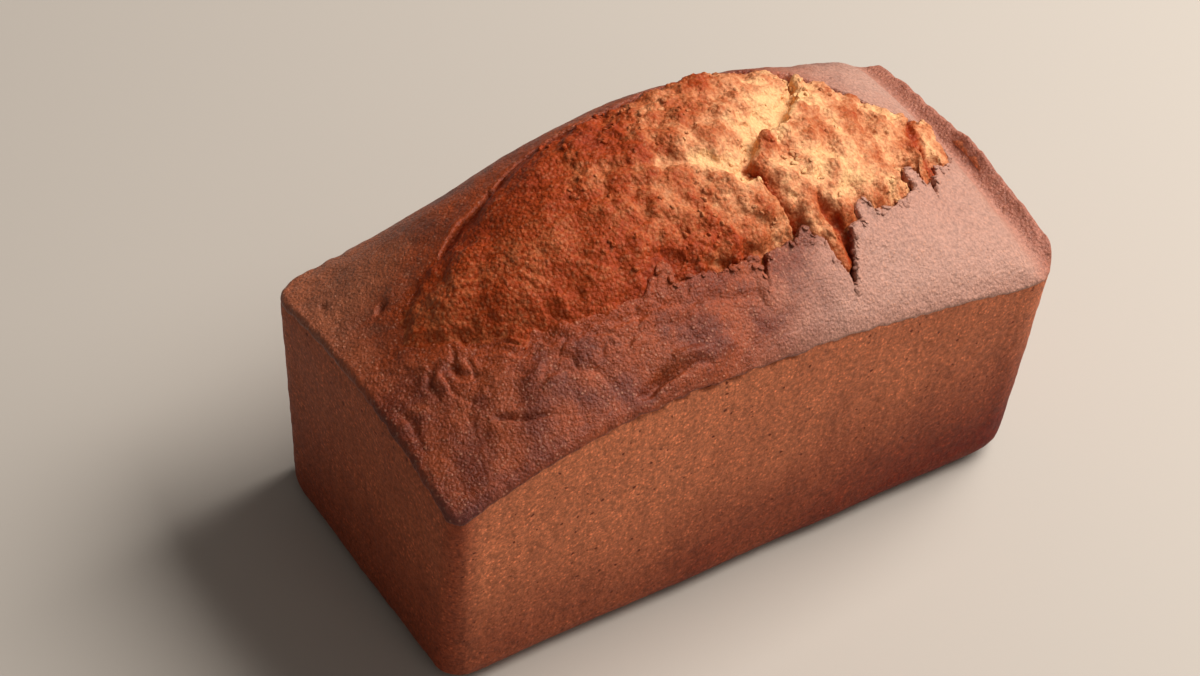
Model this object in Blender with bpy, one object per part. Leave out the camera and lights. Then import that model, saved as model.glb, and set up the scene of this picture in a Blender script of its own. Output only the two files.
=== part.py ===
"""Pound cake loaf, turned out of a loaf tin: one uncut solid with a burst, domed top.

Frame: metres, +Z up. The origin is the centre of the flat base. +X runs along the loaf from its
near end to its far end, and +Y from its front side to its back side.
"""

import bmesh
import bpy
import numpy as np
from mathutils import Vector, noise

# The tin: a tapered box with round corners. Length and width are taken at the rim.
LENGTH = 0.177
WIDTH = 0.089
RIM_HEIGHT = 0.063
WALL_INSET = 0.0025
BASE_EDGE_RADIUS = 0.008

# The upright corners: the one between the near end and the front is sharper than the others.
SHARP_CORNER_RADIUS = 0.007
CORNER_RADIUS = 0.010
BASE_CORNER_GROWTH = 0.003

# How far the crust line bows above the tin's corners in the middle of each side, and how much
# nearer to the near end (or, below zero, to the far end) the two long bows peak.
FRONT_BOW = 0.0145
FRONT_SKEW = 0.5
BACK_BOW = 0.009
BACK_SKEW = -0.4
NEAR_BOW = 0.008
FAR_BOW = 0.005
BOW_FULLNESS = 0.9

# The dome that rose out of the tin. Its crest lies behind the middle, and its back is steep.
DOME_LIFT = 0.025
CREST_OFFSET = 0.35
FRONT_SLOPE_POWER = 1.8
BACK_SLOPE_POWER = 3.0
NEAR_SLOPE_POWER = 1.6
FAR_SLOPE_POWER = 1.55

# The crust's round shoulder along the rim, and the lip with its valley along the far end.
SHOULDER_WIDTH = 0.005
SHOULDER_LIFT = 0.002
LIP_WIDTH = 0.004
LIP_LIFT = 0.002
LIP_BUMP_Y = -0.003
LIP_BUMP_WIDTH = 0.007
LIP_BUMP_LIFT = 0.002
LIP_FADE_POWER = 4
VALLEY_INSET = 0.0075
VALLEY_DEPTH = 0.0015

# The burst: a long leaf of bare crumb along the crest that pushed the crust apart.
BURST_CENTRE_X = 0.004
BURST_HALF_LENGTH = 0.079
BURST_HALF_WIDTH = 0.0265
LEAF_POWER = 2.6
LEAF_ROUNDNESS = 0.75
BURST_RISE = 0.0025
BURST_RAMP = 0.012
TEAR_WIDTH = 0.0025
TEAR_DEPTH = 0.0018

# The deep crack across the burst, and how far it swings towards the far end at the back.
CRACK_X = 0.015
CRACK_BEND_Y = -0.007
CRACK_SWING = 0.034
CRACK_HALF_WIDTH = 0.0038
CRACK_DEPTH = 0.0045

# The size and height of the crumb's clumps and of the crust's gentle waves.
CLUMP_SIZE = 0.008
CLUMP_HEIGHT = 0.0012
WAVE_SIZE = 0.022
WAVE_HEIGHT = 0.0007

# Cells of the grid over the top, and rings of faces up the wall and round the base's edge.
CELLS_LONG = 72
CELLS_WIDE = 36
WALL_RINGS = 3
EDGE_RINGS = 4

# Edges that turn more than this, in radians, such as the rim's, stay sharp in the shading.
SHARP_ANGLE = 0.9

CRUST_COLOUR = (0.27, 0.075, 0.035, 1.0)
CRUST_ROUGHNESS = 0.75

HALF_LENGTH = LENGTH / 2
HALF_WIDTH = WIDTH / 2


def smooth_step(value):
    """Ease from 0 to 1 as the value goes from 0 to 1."""
    value = np.clip(value, 0, 1)
    return value * value * (3 - 2 * value)


def ridge(distance, width):
    """A round ridge of height 1 whose sides fall away over about the given width."""
    return np.exp(-((distance / width) ** 2))


def noise_at(x, y, size):
    """Soft noise between about -1 and 1 whose lumps are about the given size."""
    return np.array([noise.noise(Vector((px, py, 0)) / size) for px, py in zip(x, y)])


def bow(t, rise, skew=0.0):
    """Height of a bowed crust line at the fraction t of its side."""
    return rise * (4 * t * (1 - t)) ** BOW_FULLNESS * (1 + skew * (1 - 2 * t))


def crust_line(u, v):
    """Height of the four bowed sides, blended over the whole top."""
    a = (u + 1) / 2
    c = (v + 1) / 2
    long_sides = (1 - c) * bow(a, FRONT_BOW, FRONT_SKEW) + c * bow(a, BACK_BOW, BACK_SKEW)
    ends = (1 - a) * bow(c, NEAR_BOW) + a * bow(c, FAR_BOW)
    return RIM_HEIGHT + long_sides + ends


def dome(u, v):
    """Rise of the dome above the crust line: steep at the back, and easing into the near end."""
    reach = np.where(v < CREST_OFFSET, 1 + CREST_OFFSET, 1 - CREST_OFFSET)
    power = np.where(v < CREST_OFFSET, FRONT_SLOPE_POWER, BACK_SLOPE_POWER)
    across = np.maximum(1 - (abs(v - CREST_OFFSET) / reach) ** power, 0)
    along = np.where(u < 0, (1 - u * u) ** NEAR_SLOPE_POWER, 1 - abs(u) ** FAR_SLOPE_POWER)
    return DOME_LIFT * across * along


def burst_inside(x, y):
    """Distance inside the burst's edge, measured across the loaf; negative outside it."""
    along = abs(x - BURST_CENTRE_X)
    c = np.clip(along / BURST_HALF_LENGTH, 0, 1)
    half_width = BURST_HALF_WIDTH * (1 - c**LEAF_POWER) ** LEAF_ROUNDNESS
    beyond_tip = np.maximum(along - BURST_HALF_LENGTH, 0)
    return half_width - abs(y) - beyond_tip


def crack_line(y):
    """The crack's x: nearly straight in front of its bend, and swinging away behind it."""
    behind = np.clip((y - CRACK_BEND_Y) / (HALF_WIDTH - CRACK_BEND_Y), 0, 1)
    return CRACK_X + CRACK_SWING * np.sin(behind * np.pi / 2)


def top_height(x, y):
    """Height of the finished top."""
    u = np.clip(x / HALF_LENGTH, -1, 1)
    v = np.clip(y / HALF_WIDTH, -1, 1)
    height = crust_line(u, v) + dome(u, v)

    from_rim = np.minimum(HALF_LENGTH - abs(x), HALF_WIDTH - abs(y))
    height += SHOULDER_LIFT * (1 - (1 - np.clip(from_rim / SHOULDER_WIDTH, 0, 1)) ** 2)
    from_far_end = HALF_LENGTH - x
    fade = 1 - v**LIP_FADE_POWER
    lip = LIP_LIFT * fade + LIP_BUMP_LIFT * ridge(y - LIP_BUMP_Y, LIP_BUMP_WIDTH)
    height += lip * ridge(from_far_end, LIP_WIDTH)
    height -= VALLEY_DEPTH * fade * ridge(from_far_end - VALLEY_INSET, LIP_WIDTH)

    inside = burst_inside(x, y)
    bare = smooth_step(inside / TEAR_WIDTH)
    height += BURST_RISE * smooth_step(inside / BURST_RAMP)
    height -= TEAR_DEPTH * ridge(inside - TEAR_WIDTH / 2, TEAR_WIDTH)
    height -= CRACK_DEPTH * bare * ridge(x - crack_line(y), CRACK_HALF_WIDTH)
    height += CLUMP_HEIGHT * bare * noise_at(x, y, CLUMP_SIZE)
    off_rim = smooth_step(from_rim / WAVE_SIZE)
    return height + WAVE_HEIGHT * off_rim * noise_at(x, y, WAVE_SIZE)


def corner_radius(s, t, up):
    """Radius of the upright corner on this quarter, at the fraction up of the wall's height."""
    sharp = (s < 0) & (t < 0)
    return np.where(sharp, SHARP_CORNER_RADIUS, CORNER_RADIUS) + BASE_CORNER_GROWTH * (1 - up)


def outline(s, t, half_length, half_width, radius):
    """Map the square -1..1 by -1..1 to a rectangle with round corners."""
    x = s * half_length
    y = t * half_width
    straight_x = half_length - radius
    straight_y = half_width - radius
    # The ray from the centre through (x, y) meets the corner's arc at k times (x, y).
    a = x * x + y * y + 1e-18
    b = abs(x) * straight_x + abs(y) * straight_y
    c = straight_x**2 + straight_y**2 - radius**2
    k = (b + np.sqrt(np.maximum(b * b - a * c, 0))) / a
    in_corner = (abs(x) * k > straight_x) & (abs(y) * k > straight_y)
    scale = np.where(in_corner, k * np.maximum(abs(s), abs(t)), 1.0)
    return x * scale, y * scale


def place(s, t, level):
    """Where a point of the box goes: level 1 is the top, 1 to 0 the wall, 0 to -1 the base's edge."""
    top_x, top_y = outline(s, t, HALF_LENGTH, HALF_WIDTH, corner_radius(s, t, 1))
    top_z = top_height(top_x, top_y)

    turn = np.clip(-level, 0, 1) * np.pi / 2
    wall_z = BASE_EDGE_RADIUS + level * (top_z - BASE_EDGE_RADIUS)
    z = np.where(level > 0, wall_z, BASE_EDGE_RADIUS * (1 - np.sin(turn)))
    up = np.clip(z / RIM_HEIGHT, 0, 1)
    inset = WALL_INSET * (1 - up) + BASE_EDGE_RADIUS * (1 - np.cos(turn))
    x, y = outline(s, t, HALF_LENGTH - inset, HALF_WIDTH - inset, corner_radius(s, t, up))
    on_top = level == 1
    return np.where(on_top, top_x, x), np.where(on_top, top_y, y), np.where(on_top, top_z, z)


def make_box():
    """A closed box: a grid on top, rings of faces below its border and one face as the base."""
    bm = bmesh.new()
    bmesh.ops.create_grid(bm, x_segments=CELLS_LONG, y_segments=CELLS_WIDE, size=1.0)
    for vert in bm.verts:
        vert.co.z = 1.0
    levels = [1 - (i + 1) / WALL_RINGS for i in range(WALL_RINGS)]
    levels += [-(i + 1) / EDGE_RINGS for i in range(EDGE_RINGS)]
    border = [edge for edge in bm.edges if edge.is_boundary]
    for level in levels:
        made = bmesh.ops.extrude_edge_only(bm, edges=border)["geom"]
        border = [item for item in made if isinstance(item, bmesh.types.BMEdge) and item.is_boundary]
        for vert in (item for item in made if isinstance(item, bmesh.types.BMVert)):
            vert.co.z = level
    bmesh.ops.contextual_create(bm, geom=border)
    bmesh.ops.recalc_face_normals(bm, faces=bm.faces)
    return bm


def shape_loaf(bm):
    """Move the box's points to the loaf's surface."""
    points = np.array([vert.co for vert in bm.verts])
    placed = np.stack(place(points[:, 0], points[:, 1], points[:, 2]), axis=1)
    for vert, position in zip(bm.verts, placed):
        vert.co = position


def crust_material():
    """Matt, baked brown crust."""
    material = bpy.data.materials.new("baked_crust")
    material.use_nodes = True
    shader = material.node_tree.nodes["Principled BSDF"]
    shader.inputs["Base Color"].default_value = CRUST_COLOUR
    shader.inputs["Roughness"].default_value = CRUST_ROUGHNESS
    shader.inputs["Metallic"].default_value = 0.0
    return material


def main():
    for obj in list(bpy.data.objects):
        bpy.data.objects.remove(obj)
    bm = make_box()
    shape_loaf(bm)
    mesh = bpy.data.meshes.new("loaf")
    bm.to_mesh(mesh)
    bm.free()
    mesh.shade_smooth()
    mesh.set_sharp_from_angle(angle=SHARP_ANGLE)
    mesh.materials.append(crust_material())
    loaf = bpy.data.objects.new("loaf", mesh)
    bpy.context.scene.collection.objects.link(loaf)


main()
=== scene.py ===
"""Looks of a pound cake loaf: its baked body, the crumb in the burst, loose crumbs and crust flakes.

Frame: metres, +Z up. The origin is the centre of the flat base. +X runs along the loaf from its
near end to its far end, and +Y from its front side to its back side.
"""

import math

import bpy
import numpy as np
from mathutils import Matrix, Vector, noise


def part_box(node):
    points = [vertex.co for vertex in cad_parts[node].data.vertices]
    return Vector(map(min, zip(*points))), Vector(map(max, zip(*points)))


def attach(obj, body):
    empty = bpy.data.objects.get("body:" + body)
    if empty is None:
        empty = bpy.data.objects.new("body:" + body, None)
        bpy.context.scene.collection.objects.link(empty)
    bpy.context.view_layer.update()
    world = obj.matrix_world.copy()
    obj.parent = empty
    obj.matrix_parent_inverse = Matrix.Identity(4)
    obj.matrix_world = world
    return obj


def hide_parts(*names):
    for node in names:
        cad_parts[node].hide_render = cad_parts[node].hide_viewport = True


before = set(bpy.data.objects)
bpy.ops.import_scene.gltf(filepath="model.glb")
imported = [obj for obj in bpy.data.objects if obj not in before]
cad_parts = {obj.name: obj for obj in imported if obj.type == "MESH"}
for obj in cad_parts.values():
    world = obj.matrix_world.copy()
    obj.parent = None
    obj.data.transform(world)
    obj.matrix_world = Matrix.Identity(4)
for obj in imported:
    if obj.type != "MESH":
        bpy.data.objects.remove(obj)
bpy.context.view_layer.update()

MM = 0.001

# The tin's box, from the loaf's part in model.glb, and the loaf's walls and corners.
CAD_LOW, CAD_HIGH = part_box("loaf")
HALF_LENGTH = (CAD_HIGH.x - CAD_LOW.x) / 2
HALF_WIDTH = (CAD_HIGH.y - CAD_LOW.y) / 2
RIM_HEIGHT = 63 * MM
WALL_INSET = 2.5 * MM
BASE_EDGE_RADIUS = 7 * MM
SHARP_CORNER_RADIUS = 4 * MM
CORNER_RADIUS = 10 * MM
BASE_CORNER_GROWTH = 3 * MM

# How far the crust line bows above the corners on each side, and its skew towards the near end.
FRONT_BOW = 14.5 * MM
FRONT_SKEW = 0.5
BACK_BOW = 9 * MM
BACK_SKEW = -0.4
NEAR_BOW = 8 * MM
FAR_BOW = 5 * MM
BOW_FULLNESS = 0.9

# The dome.
DOME_LIFT = 25 * MM
CREST_OFFSET = 0.35
FRONT_SLOPE_POWER = 1.8
BACK_SLOPE_POWER = 3.0
NEAR_SLOPE_POWER = 1.6
FAR_SLOPE_POWER = 1.55

# The crust's shoulder: tight at the near end, round at the far end. The far end has a lip.
SHOULDER_NEAR = 1.2 * MM
SHOULDER_FAR = 7 * MM
SHOULDER_LIFT_NEAR = 0.8 * MM
SHOULDER_LIFT_FAR = 2.6 * MM
LIP_WIDTH = 2.2 * MM
LIP_LIFT = 1.8 * MM
LIP_BUMP_Y = -3 * MM
LIP_BUMP_WIDTH = 7 * MM
LIP_BUMP_LIFT = 2 * MM
VALLEY_INSET = 6.0 * MM
VALLEY_WIDTH = 3.0 * MM
VALLEY_DEPTH = 3.0 * MM

# The burst: a leaf in plan. Its back edge dips in, or reaches out where the depth is negative. Each dip is
# its place along the loaf, its reach and its depth, in millimetres.
BURST_CENTRE_X = 4 * MM
BURST_HALF_LENGTH = 79 * MM
BURST_HALF_WIDTH = 26.5 * MM
BURST_FAR_STOP = 76 * MM
LEAF_POWER = 2.6
LEAF_ROUNDNESS = 0.75
BACK_DIPS = [(-6, 12, 1.0), (32, 20, -5.0), (66, 9, 3.0)]
TROUGH_DEPTH = 2.6 * MM
TROUGH_RAMP = 0.7 * MM
BURST_RISE = 3.4 * MM
BURST_RAMP = 9 * MM

# How far the torn crust's rim hangs over the sides, where it's ragged along the front, and its thickness.
OVERHANG = 0.3 * MM
RAGGED_X = -16 * MM
RAGGED_REACH = 26 * MM
CRUST_EDGE = 1.5 * MM
WALL_TOP_DROP = 0.3 * CRUST_EDGE

# The rings round the crust's rim: how far each hangs out, as a share, how far it tucks in, in millimetres,
# and how far down the rim's edge it is, as a share.
RIM_RINGS = [(0.8, 0.02, 0.25), (1.0, 0.12, 0.6), (0.6, 0.5, 0.95), (-3.0, 1.0, 1.0)]

# Where the pieces end out of sight, how far the crumb's block goes under the crust, and a distance from the
# tear that stands for any place on the crust well away from it.
HIDDEN_LEVEL = 50 * MM
HIDDEN_INSET = 3 * MM
CRUMB_MARGIN = 6 * MM
CRUMB_END_MARGIN = 0.6 * CRUMB_MARGIN
WELL_OUTSIDE = -30 * MM

# At the main cleft the crumb's block reaches further out: the place along the loaf, how far, and how wide.
CLEFT_PLACE = 31 * MM
CLEFT_REACH = 11 * MM
CLEFT_SPREAD = 7 * MM

# How far the darker colour of the sharp near corner reaches on the crust and on the sides.
CORNER_REACH_CRUST = 17 * MM
CORNER_REACH_SIDES = 4.5 * MM

# Cells of each piece's grid, and the rings of the sides, which crowd towards the rim.
CRUST_CELLS = (420, 200)
SIDE_CELLS = (330, 165)
WALL_RINGS = 72
RING_CROWDING = 1.35
EDGE_RINGS = 8
CRUMB_CELLS = (460, 190)


# ---------------------------------------------------------------- shape helpers


def smooth_step(value):
    """Ease from 0 to 1 as the value goes from 0 to 1."""
    value = np.clip(value, 0, 1)
    return value * value * (3 - 2 * value)


def blend(low, high, amount):
    """Value between low and high at the amount 0 to 1."""
    return low + (high - low) * amount


def rises(value, start, span):
    """Ease from 0 at a start to 1 a span beyond it, both in millimetres."""
    return smooth_step((value - start * MM) / (span * MM))


def falls(value, end, span):
    """Ease from 1 a span before an end to 0 at it, both in millimetres."""
    return smooth_step((end * MM - value) / (span * MM))


def ridge(distance, width):
    """A round ridge of height 1 whose sides fall away over about the given width."""
    return np.exp(-((distance / width) ** 2))


def metres(points):
    """Points given in millimetres, in metres."""
    return [(x * MM, y * MM) for x, y in points]


def spot(x, y, centre, radii, angle=0.0):
    """A round spot of height 1 at the centre, longer one way and turned by the angle."""
    dx, dy = x - centre[0], y - centre[1]
    along = dx * math.cos(angle) + dy * math.sin(angle)
    across = dy * math.cos(angle) - dx * math.sin(angle)
    return np.exp(-((along / radii[0]) ** 2) - (across / radii[1]) ** 2)


def soft_noise(size, *axes, seed=0.0):
    """Noise between about -1 and 1 at points given by one to three coordinate arrays."""
    axes = [np.asarray(axis, float) / size for axis in axes]
    while len(axes) < 3:
        axes.append(np.full_like(axes[0], 0.5))
    axes[2] = axes[2] + seed
    return np.array([noise.noise(Vector(point)) for point in zip(*axes)])


def waves(layers, *axes):
    """Sum of noises, each with a height and a size in millimetres and a seed."""
    return sum(height * MM * soft_noise(size * MM, *axes, seed=seed) for height, size, seed in layers)


def shaken(x, y, *layers):
    """Points moved by noise, so that what is drawn by them wavers: each layer's reach, size and two seeds."""
    moved_x, moved_y = x, y
    for reach, size, x_seed, y_seed in layers:
        moved_x = moved_x + waves([(reach, size, x_seed)], x, y)
        moved_y = moved_y + waves([(reach, size, y_seed)], x, y)
    return moved_x, moved_y


def path_distance(x, y, path):
    """Distance in plan from a path of (x, y) points, and how far along the path that is, 0 to 1."""
    nearest = np.full(x.shape, np.inf)
    place = np.zeros(x.shape)
    for i, ((ax, ay), (bx, by)) in enumerate(zip(path, path[1:])):
        dx, dy = bx - ax, by - ay
        t = np.clip(((x - ax) * dx + (y - ay) * dy) / (dx * dx + dy * dy), 0, 1)
        away = np.hypot(x - ax - t * dx, y - ay - t * dy)
        place = np.where(away < nearest, (i + t) / (len(path) - 1), place)
        nearest = np.minimum(nearest, away)
    return nearest, place


def side_of_path(x, y, path):
    """-1 on the near end's side of a path that runs across the loaf, and 1 beyond it."""
    order = sorted(path, key=lambda point: point[1])
    return np.sign(x - np.interp(y, [p[1] for p in order], [p[0] for p in order]))


# ---------------------------------------------------------------- the loaf's form


def bow(t, rise, skew=0.0):
    """Height of a bowed crust line at the fraction t of its side."""
    return rise * (4 * t * (1 - t)) ** BOW_FULLNESS * (1 + skew * (1 - 2 * t))


def crust_line(u, v):
    """Height of the four bowed sides, blended over the whole top."""
    a = (u + 1) / 2
    c = (v + 1) / 2
    long_sides = (1 - c) * bow(a, FRONT_BOW, FRONT_SKEW) + c * bow(a, BACK_BOW, BACK_SKEW)
    ends = (1 - a) * bow(c, NEAR_BOW) + a * bow(c, FAR_BOW)
    return RIM_HEIGHT + long_sides + ends


def dome(u, v):
    """Rise of the dome above the crust line: steep at the back, and easing into the near end."""
    reach = np.where(v < CREST_OFFSET, 1 + CREST_OFFSET, 1 - CREST_OFFSET)
    power = np.where(v < CREST_OFFSET, FRONT_SLOPE_POWER, BACK_SLOPE_POWER)
    across = np.maximum(1 - (abs(v - CREST_OFFSET) / reach) ** power, 0)
    along = np.where(u < 0, (1 - u * u) ** NEAR_SLOPE_POWER, 1 - abs(u) ** FAR_SLOPE_POWER)
    return DOME_LIFT * across * along


def corner_radius(s, t, up):
    """Radius of the upright corner on this quarter, at the fraction up of the wall's height."""
    sharp = (s < 0) & (t < 0)
    return np.where(sharp, SHARP_CORNER_RADIUS, CORNER_RADIUS) + BASE_CORNER_GROWTH * (1 - up)


def rim_distance(x, y):
    """Distance inside the rim's rounded rectangle."""
    radius = corner_radius(x, y, 1)
    over_x = abs(x) - (HALF_LENGTH - radius)
    over_y = abs(y) - (HALF_WIDTH - radius)
    outside = np.hypot(np.maximum(over_x, 0), np.maximum(over_y, 0))
    return radius - outside - np.minimum(np.maximum(over_x, over_y), 0)


def risen_top(x, y):
    """Height of the top as it rose, before the crust tore: dome, shoulder, and the far end's lip."""
    u = np.clip(x / HALF_LENGTH, -1, 1)
    v = np.clip(y / HALF_WIDTH, -1, 1)
    height = crust_line(u, v) + dome(u, v)
    far = smooth_step((u + 0.1) / 0.8)
    shoulder = blend(SHOULDER_NEAR, SHOULDER_FAR, far)
    lift = blend(SHOULDER_LIFT_NEAR, SHOULDER_LIFT_FAR, far)
    from_side = HALF_WIDTH - abs(y)
    square_end = rises(from_side, 3, 6) * far
    from_edge = blend(rim_distance(x, y), from_side, square_end)
    height += lift * (1 - (1 - np.clip(from_edge / shoulder, 0, 1)) ** 2)
    from_far_end = HALF_LENGTH - x
    fade = 1 - v**4
    lip = LIP_LIFT * fade + LIP_BUMP_LIFT * ridge(y - LIP_BUMP_Y, LIP_BUMP_WIDTH)
    height += lip * ridge(from_far_end, LIP_WIDTH)
    height -= VALLEY_DEPTH * fade * ridge(from_far_end - VALLEY_INSET, VALLEY_WIDTH)
    return height


# The crust tore further in narrow clefts, and stands into the burst in tongues. Each is a straight strip
# from a first point to a second, with a half-width at both, in millimetres.
CLEFTS = [
    ((28.5, -22), (27.5, -37), 6.5, 0.3),
    ((6.5, -25), (4, -33), 1.2, 0.1),
    ((66.5, -12), (63.5, -21), 1.6, 0.1),
    ((-36, -20), (-33, -25.5), 1.0, 0.1),
    ((-64, 4), (-72, 9), 2.0, 0.3),
]
TONGUES = [
    ((41, -26), (39, -21), 3.6, 1.8),
    ((61, -19), (59.5, -13), 2.8, 1.0),
    ((71, -15), (70, -11.5), 2.2, 0.8),
    ((17, -29), (19, -25), 4.0, 2.0),
    ((-22, -26), (-19, -22), 3.5, 1.5),
]


def inside_strip(x, y, strip):
    """Distance inside a tapering strip; negative outside it."""
    start, end, start_half, end_half = strip
    away, place = path_distance(x, y, metres([start, end]))
    return blend(start_half * MM, end_half * MM, place) - away


def leaf_half_width(x):
    """Half-width of the burst's leaf at each x."""
    c = np.clip(abs(x - BURST_CENTRE_X) / BURST_HALF_LENGTH, 0, 1)
    return BURST_HALF_WIDTH * (1 - c**LEAF_POWER) ** LEAF_ROUNDNESS


def near_front(x, y):
    """1 beside the burst's front edge at the near end, where the crust eases into the crumb."""
    return falls(x, -14, 26) * falls(y, 5, 9)


def merging(x, y):
    """1 round the burst's near tip and along its front edge there, where crust and crumb run together."""
    reach = blend(7 * MM, 24 * MM, falls(x, -50, 12))
    return falls(x, -26, 24) * smooth_step((reach - y) / (10 * MM))


def tear_field(x, y):
    """Distance inside the crust's torn edge, jags and clefts included; negative on the crust."""
    half = leaf_half_width(x)
    slope = (leaf_half_width(x + MM) - leaf_half_width(x - MM)) / (2 * MM)
    steepness = np.sqrt(1 + np.minimum(slope**2, 9))
    dips = sum(depth * MM * ridge(x - place * MM, width * MM) for place, width, depth in BACK_DIPS)
    beyond_tip = np.maximum(abs(x - BURST_CENTRE_X) - BURST_HALF_LENGTH, 0)
    field = (half - abs(y) - dips * rises(y, 0, 6)) / steepness - beyond_tip
    swing = blend(0.9 * MM, 2.6 * MM, falls(x, -50, 20))
    field += swing * soft_noise(9 * MM, x, y, seed=3)
    torn = (1 - 0.65 * near_front(x, y)) * (1 - 0.5 * rises(y, 0, 8))
    field += torn * 1.2 * MM * soft_noise(5 * MM, x, y, seed=9)
    field += torn * 0.6 * MM * soft_noise(1.7 * MM, x, y, seed=11)
    field += merging(x, y) * 2.0 * MM * soft_noise(4 * MM, x, y, seed=19)
    # The burst stops short of the far end's lip.
    field -= 2 * np.maximum(x - BURST_FAR_STOP, 0)
    shake_x, shake_y = shaken(x, y, (0.9, 3.5, 14, 15))
    for cleft in CLEFTS:
        field = np.maximum(field, inside_strip(shake_x, shake_y, cleft))
    for tongue in TONGUES:
        field = np.minimum(field, -inside_strip(shake_x, shake_y, tongue))
    return field


def edge_drop(x, y):
    """How far the crumb starts below the crust: level at the near front, deep elsewhere."""
    front = 1.5 * MM * rises(x, -34, 40)
    back = blend(0.3 * MM, 1.8 * MM, ridge(x + 46 * MM, 15 * MM))
    return blend(front, back, rises(y, -4, 8))


# The paths of the cracks across the crumb, in millimetres.
UPPER_CRACK = [(49, 26), (43.5, 16), (37, 9.5), (30, 4.5), (22, 1), (13.5, -6.5)]
LOWER_CRACK = [(13.5, -6.5), (15.5, -12), (17, -18), (20, -25)]
SIDE_CRACK = [(12, -6), (2, -2), (-8, 1), (-20, 4.5)]
FAR_CRACK = [(76, 10), (70, 2), (67, -5), (66, -13)]
MIDDLE_CRACK = [(66, 16), (57, 6), (55, -2)]
CLEFT_CRACK = [(29, -20), (31, -25), (30, -31), (28, -37)]

# Each crack's path, its depth, and how wide it opens towards the near end and towards the far end, in
# millimetres.
CRACKS = [
    (UPPER_CRACK, 4.8, 4.2, 1.0),
    (LOWER_CRACK, 5.5, 0.9, 2.4),
    (SIDE_CRACK, 1.7, 1.7, 1.7),
    (FAR_CRACK, 2.8, 1.0, 2.2),
    (MIDDLE_CRACK, 1.6, 1.8, 1.8),
    (CLEFT_CRACK, 3.6, 2.6, 1.6),
]

# The cracks with pale, freshly opened sides; the other cracks' sides are baked dark.
FRESH_CRACKS = (UPPER_CRACK, SIDE_CRACK, MIDDLE_CRACK)


def cracks_at(x, y):
    """Depth of the cracks, and how freshly opened and how dark baked the crumb is beside them."""
    depth = np.zeros_like(x)
    fresh = np.zeros_like(x)
    baked = np.zeros_like(x)
    shake_x, shake_y = shaken(x, y, (1.2, 5, 31, 33), (0.5, 1.8, 32, 34))
    patchy = np.clip(0.35 + 1.1 * soft_noise(6 * MM, x, y, seed=35), 0, 0.8)
    for path, deep, open_near, open_far in CRACKS:
        line = metres(path)
        away, place = path_distance(shake_x, shake_y, line)
        beyond = side_of_path(shake_x, shake_y, line) > 0
        width = np.where(beyond, open_far, open_near) * MM
        fade = smooth_step(place / 0.12) if path in FRESH_CRACKS else smooth_step((1 - place) / 0.1)
        depth = np.maximum(depth, deep * MM * np.exp(-((away / width) ** 1.6)) * blend(0.5, 1, fade))
        if path in FRESH_CRACKS:
            share = 1 if path is UPPER_CRACK else patchy
            fresh = np.maximum(fresh, share * ridge(away, width * 1.3 + 0.5 * MM))
        else:
            baked = np.maximum(baked, ridge(away, width * 0.8))
    return depth, fresh, baked


# ---------------------------------------------------------------- the baked body

# Creases in the crust, in millimetres: the path, the depth and the half-width.
CREASES = [
    ([(-69, -29), (-66, -32.5), (-62, -35), (-57, -36)], 1.5, 0.5),
    ([(-74, -9), (-77, -13), (-77, -18)], 0.8, 0.8),
    ([(-68, -8), (-71, -12), (-70, -16), (-66, -19)], 0.8, 0.6),
    ([(-52, -19), (-47, -23), (-40, -25)], 0.5, 0.7),
    ([(-37, -26), (-27, -28), (-17, -30)], 0.8, 0.7),
    ([(-12, -31), (-4, -32), (3, -34)], 0.8, 0.7),
    ([(-38, -41.5), (-30, -40.5), (-24, -41.5), (-17, -42)], 2.6, 1.1),
    ([(-85, -24), (-84, -18), (-86, -12)], 0.6, 0.8),
    ([(-46, -31), (-43, -34), (-42, -38)], 0.5, 0.8),
    ([(-62, -13), (-58, -17), (-52, -20)], 0.5, 0.6),
]

# Marks on the crust, in millimetres: the centre, the radii, the turn in radians and the height.
CRUST_MARKS = [
    ((-22, -41), (6.5, 2.8), 0.0, 2.6),
    ((-12, -40), (4, 2.4), 0.2, 1.2),
    ((-33, -39.5), (6, 3), 0.0, -1.4),
    ((-56, -26), (2.6, 1.6), 0.5, 1.0),
    ((-54, -30.5), (2.4, 1.6), 0.3, 0.9),
    ((-64, -21), (4.5, 3), 0.8, 0.8),
    ((-75, -14), (2.2, 4.5), 0.1, 0.7),
    ((-75, 14), (1.4, 1.0), 0.5, -1.7),
    ((-83, 27), (0.9, 0.8), 0.0, -1.0),
    ((-70, 16), (5, 3), 0.4, 0.7),
    ((-35, -31), (7, 3), -0.2, 0.8),
    ((8, -36), (12, 5), 0.1, 1.3),
    ((-5, -35), (5, 4), 0.3, -0.9),
    ((37, -28), (7, 5), 0.0, 0.9),
]


def crust_relief(x, y, inside):
    """The top crust's unevenness: waves, wrinkles beside the tear, creases, blisters and pocks."""
    relief = waves([(0.7, 19, 0), (0.3, 6, 4), (0.2, 2.6, 7), (0.11, 1.3, 8)], x, y)
    wrinkled = falls(x, 26, 50) * falls(y, 6, 12)
    bend = 2 * MM * soft_noise(9 * MM, x, y, seed=12)
    folds = soft_noise(1.0, x / (9 * MM), (inside + bend) / (2.6 * MM), seed=13)
    relief += (0.65 * MM * folds - 0.7 * MM * ridge(folds, 0.08)) * wrinkled * ridge(inside + 5 * MM, 9 * MM)
    shake_x, shake_y = shaken(x, y, (1.0, 4, 16, 17))
    for path, depth, half_width in CREASES:
        away, place = path_distance(shake_x, shake_y, metres(path))
        taper = np.sqrt(np.clip(4 * place * (1 - place), 0, 1))
        raised_side = 0.2 * ridge(away - 2 * MM, 1.6 * MM)
        relief += depth * MM * taper * (raised_side - ridge(away, half_width * MM))
    for centre, radii, angle, height in CRUST_MARKS:
        relief += height * MM * spot(shake_x, shake_y, *metres([centre, radii]), angle)
    return relief


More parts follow.
